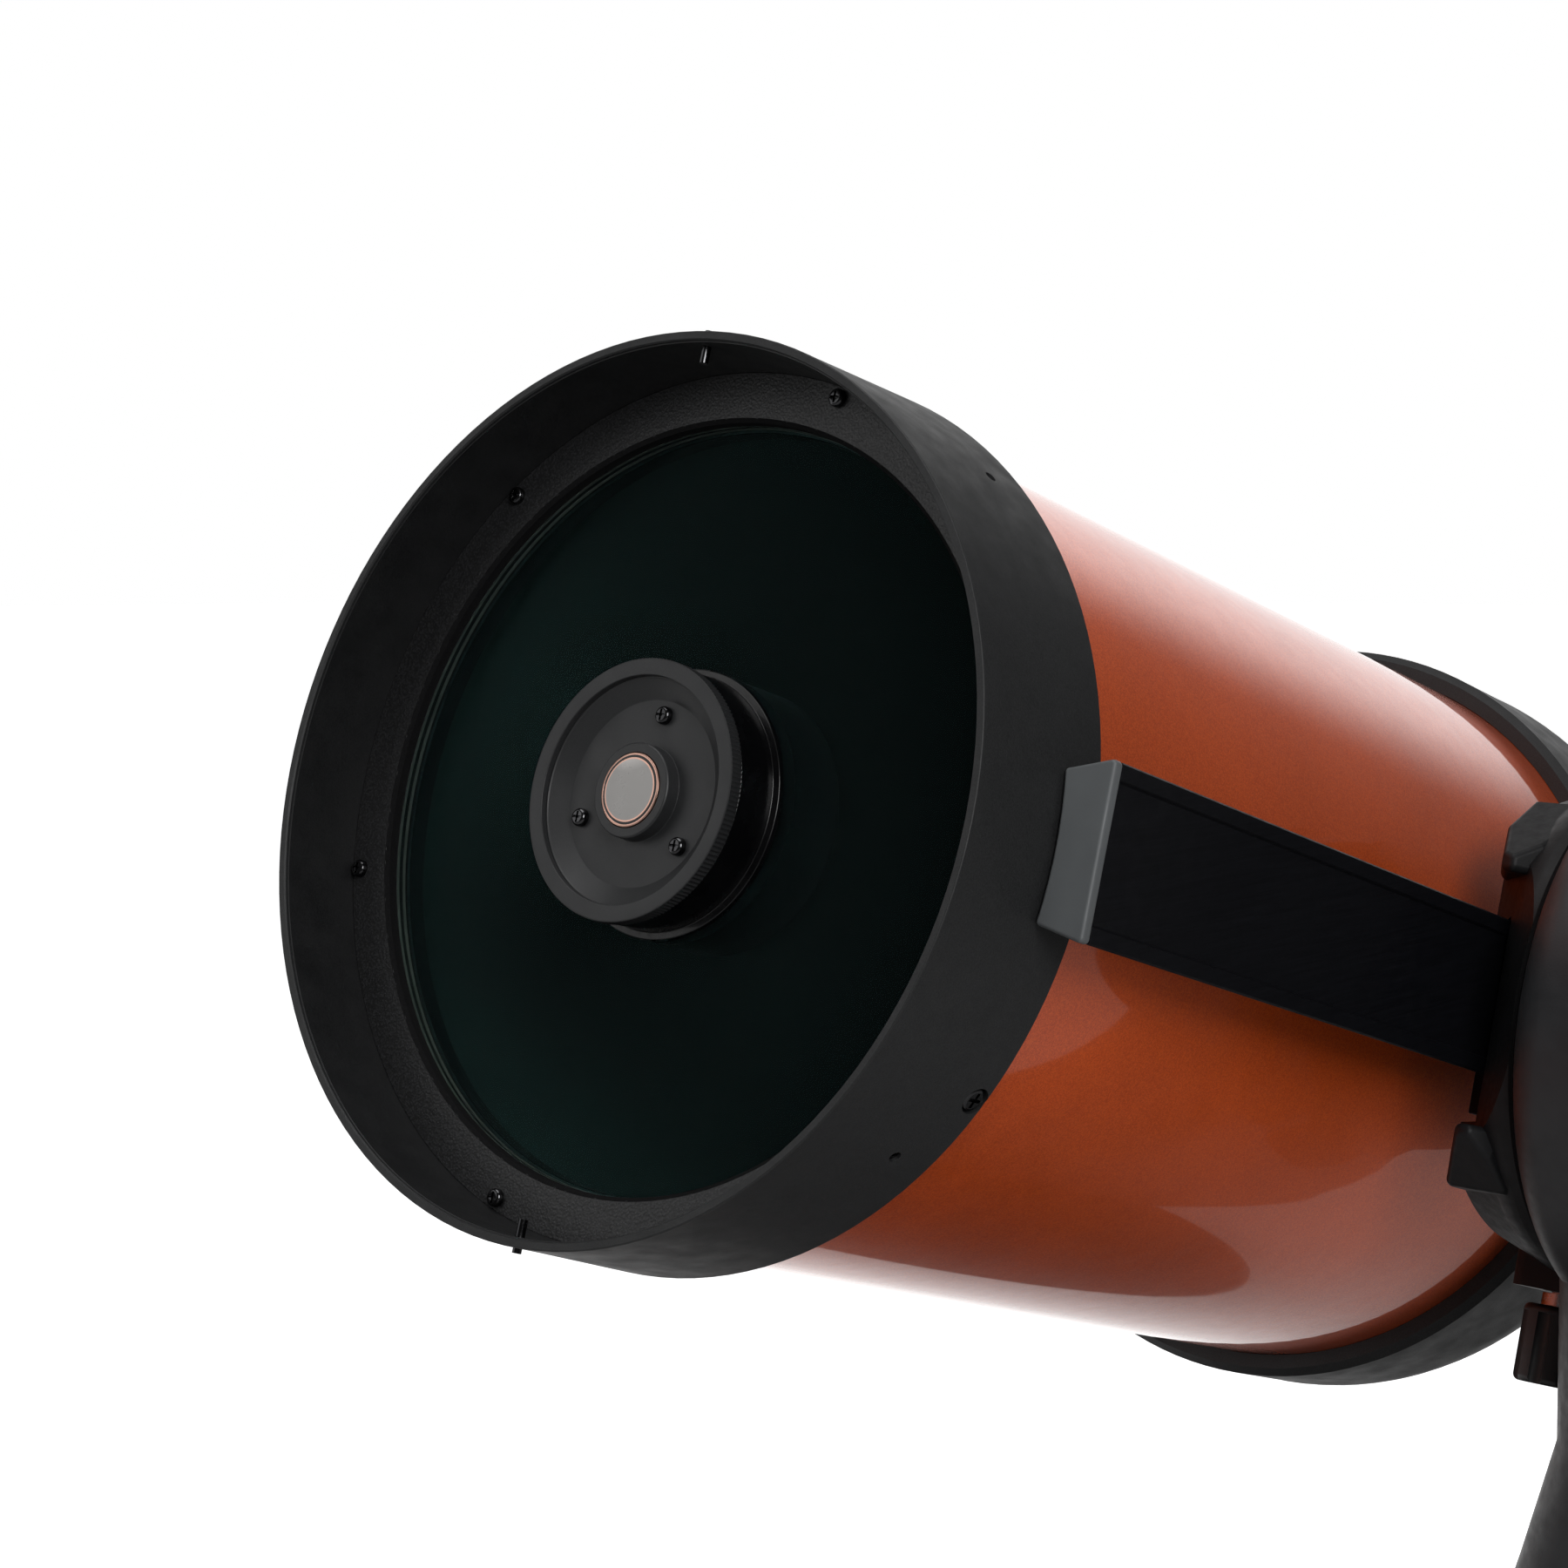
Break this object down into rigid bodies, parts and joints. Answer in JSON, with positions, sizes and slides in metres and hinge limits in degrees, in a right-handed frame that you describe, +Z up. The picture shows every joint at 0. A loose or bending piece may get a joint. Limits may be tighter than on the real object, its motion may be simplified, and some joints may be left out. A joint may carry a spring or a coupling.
{
  "type": "schmidt-cassegrain telescope",
  "caption": "Schmidt-Cassegrain telescope: orange tube on a dovetail bar, carried by a single-arm altazimuth mount with star diagonal, eyepiece and red-dot finder.",
  "frame": {"origin": "on the azimuth axis, in the plane of the three feet that stand on the tripod head", "axes": "+Z up along the azimuth axis; the tube points to -Y, nose up; the arm stands on +X and the altitude axis is parallel to X"},
  "size_m": [0.3529, 0.5141, 0.5785],
  "materials": {
    "orange_paint": "metallic orange paint under clear coat",
    "cell_black": "fine textured matte black on cast aluminium",
    "ring_black": "crinkle black",
    "satin_grey": "satin grey",
    "gloss_black": "gloss black",
    "flat_black": "flat black inside the light path",
    "corrector_glass": "coated optical glass",
    "lens_glass": "coated optical glass",
    "mirror_coat": "aluminised glass",
    "bare_steel": "bright steel",
    "dark_steel": "blackened steel",
    "bright_chrome": "polished chrome",
    "machined_aluminium": "machined",
    "bar_black": "black anodised",
    "cap_grey": "moulded grey plastic",
    "arm_charcoal": "fine textured charcoal plastic",
    "black_plastic": "black plastic",
    "grip_rubber": "ribbed rubber",
    "gear_brass": "machined brass",
    "badge_silver": "silver foil badge"
  },
  "bodies": {
    "base": {"base_casting": "cell_black", "azimuth_worm_wheel": "gear_brass"},
    "azimuth": {"turntable_plate": "machined_aluminium", "turntable_cover": "arm_charcoal", "port_panel": "black_plastic", "arm_frame": "machined_aluminium", "arm_inner_shell": "arm_charcoal", "arm_outer_shell": "arm_charcoal", "arm_screws": "dark_steel", "altitude_bearings": "gear_brass", "drive_motors": "bare_steel"},
    "azimuth_worm": {"azimuth_worm": "gear_brass"},
    "altitude_worm": {"altitude_worm": "gear_brass"},
    "power_switch": {"power_switch": "black_plastic"},
    "battery_door": {"battery_door": "arm_charcoal"},
    "altitude": {"saddle": "arm_charcoal", "altitude_shaft": "bare_steel", "altitude_worm_wheel": "gear_brass"},
    "clamp_jaw": {"clamp_jaw": "bar_black"},
    "clamp_knob": {"clamp_knob": "black_plastic", "clamp_screw": "bare_steel"},
    "tube": {"front_cell": "cell_black", "corrector_ring": "ring_black", "ring_screws": "dark_steel", "cell_screws": "dark_steel", "centring_screws": "dark_steel", "cap_pins": "bare_steel", "corrector_plate": "corrector_glass", "secondary_holder": "gloss_black", "secondary_ring": "satin_grey", "secondary_cell": "satin_grey", "collimation_screws": "dark_steel", "secondary_badge": "badge_silver", "secondary_mirror": "mirror_coat", "secondary_baffle": "flat_black", "tube_shell": "orange_paint", "rear_cell": "cell_black", "baffle_tube": "flat_black", "focuser_retainer": "cell_black", "visual_back": "machined_aluminium", "finder_bracket": "black_plastic", "finder_body": "black_plastic", "finder_window": "lens_glass", "dovetail_bar": "bar_black", "dovetail_end_caps": "cap_grey", "dovetail_screws": "bare_steel"},
    "mirror": {"primary_mirror": "mirror_coat", "mirror_carrier": "machined_aluminium"},
    "focus_knob": {"focus_knob": "grip_rubber", "focus_screw": "gear_brass"},
    "back_thumbscrew": {"back_thumbscrew": "bright_chrome"},
    "diagonal": {"diagonal_body": "black_plastic", "diagonal_nose": "bright_chrome", "diagonal_mirror": "mirror_coat"},
    "diagonal_thumbscrew": {"diagonal_thumbscrew": "bright_chrome"},
    "eyepiece": {"eyepiece_barrel": "bright_chrome", "eyepiece_body": "gloss_black", "eyepiece_lenses": "lens_glass", "eyecup": "grip_rubber"},
    "finder_knob": {"finder_knob": "black_plastic"}
  },
  "joints": [
    {"name": "azimuth_turn", "type": "hinge", "parent": "base", "child": "azimuth", "pos_m": [0, 0, 0.058], "axis": [0, 0, 1], "continuous": true},
    {"name": "azimuth_worm_spin", "type": "hinge", "parent": "azimuth", "child": "azimuth_worm", "pos_m": [-0.0685, 0, 0.041], "axis": [0, 1, 0], "continuous": true},
    {"name": "altitude_tilt", "type": "hinge", "parent": "azimuth", "child": "altitude", "pos_m": [0.14, 0, 0.385], "axis": [-1, 0, 0], "range_deg": [-27.5, 72.5]},
    {"name": "altitude_worm_spin", "type": "hinge", "parent": "azimuth", "child": "altitude_worm", "pos_m": [0.188, 0, 0.3315], "axis": [0, 1, 0], "range_deg": [-2520, 6570]},
    {"name": "clamp_turn", "type": "hinge", "parent": "altitude", "child": "clamp_knob", "pos_m": [0.135, -0.01698, 0.30123], "axis": [0, -0.3007, -0.9537], "range_deg": [0, 721]},
    {"name": "clamp_slide", "type": "slide", "parent": "altitude", "child": "clamp_jaw", "axis": [0, -0.3007, -0.9537], "range_m": [0, 0.0025]},
    {"name": "tube_slide", "type": "slide", "parent": "altitude", "child": "tube", "axis": [0, 0.9537, -0.3007], "range_m": [-0.008, 0.06]},
    {"name": "focus_turn", "type": "hinge", "parent": "tube", "child": "focus_knob", "pos_m": [0.04, 0.11788, 0.29331], "axis": [0, 0.9537, -0.3007], "range_deg": [-3842, 3842]},
    {"name": "mirror_slide", "type": "slide", "parent": "tube", "child": "mirror", "axis": [0, 0.9537, -0.3007], "range_m": [-0.008, 0.008]},
    {"name": "back_screw_turn", "type": "hinge", "parent": "tube", "child": "back_thumbscrew", "pos_m": [-0.0198, 0.14806, 0.35908], "axis": [-0.7071, 0.2126, 0.6744], "range_deg": [0, 720]},
    {"name": "diagonal_turn", "type": "hinge", "parent": "tube", "child": "diagonal", "pos_m": [0, 0.1421, 0.3402], "axis": [0, 0.9537, -0.3007], "continuous": true},
    {"name": "diagonal_screw_turn", "type": "hinge", "parent": "diagonal", "child": "diagonal_thumbscrew", "pos_m": [0, 0.21111, 0.35619], "axis": [0, 0.9537, -0.3007], "range_deg": [0, 720]},
    {"name": "eyepiece_slide", "type": "slide", "parent": "diagonal", "child": "eyepiece", "axis": [0, 0.3007, 0.9537], "range_m": [0, 0.026]},
    {"name": "finder_knob_turn", "type": "hinge", "parent": "tube", "child": "finder_knob", "pos_m": [-0.11764, 0.11938, 0.42111], "axis": [-0.6157, -0.237, -0.7515], "range_deg": [0, 270]},
    {"name": "switch_rock", "type": "hinge", "parent": "azimuth", "child": "power_switch", "pos_m": [0.026, 0.114, 0.066], "axis": [1, 0, 0], "range_deg": [0, 14]},
    {"name": "door_lift", "type": "slide", "parent": "azimuth", "child": "battery_door", "axis": [0, 0, 1], "range_m": [0, 0.012]}
  ],
  "couplings": [
    {"joint": "azimuth_worm_spin", "follows": "azimuth_turn", "ratio": 90},
    {"joint": "altitude_worm_spin", "follows": "altitude_tilt", "ratio": 90},
    {"joint": "clamp_turn", "follows": "clamp_slide", "rad_per_m": 5026.5},
    {"joint": "focus_turn", "follows": "mirror_slide", "rad_per_m": 8377.6}
  ]
}
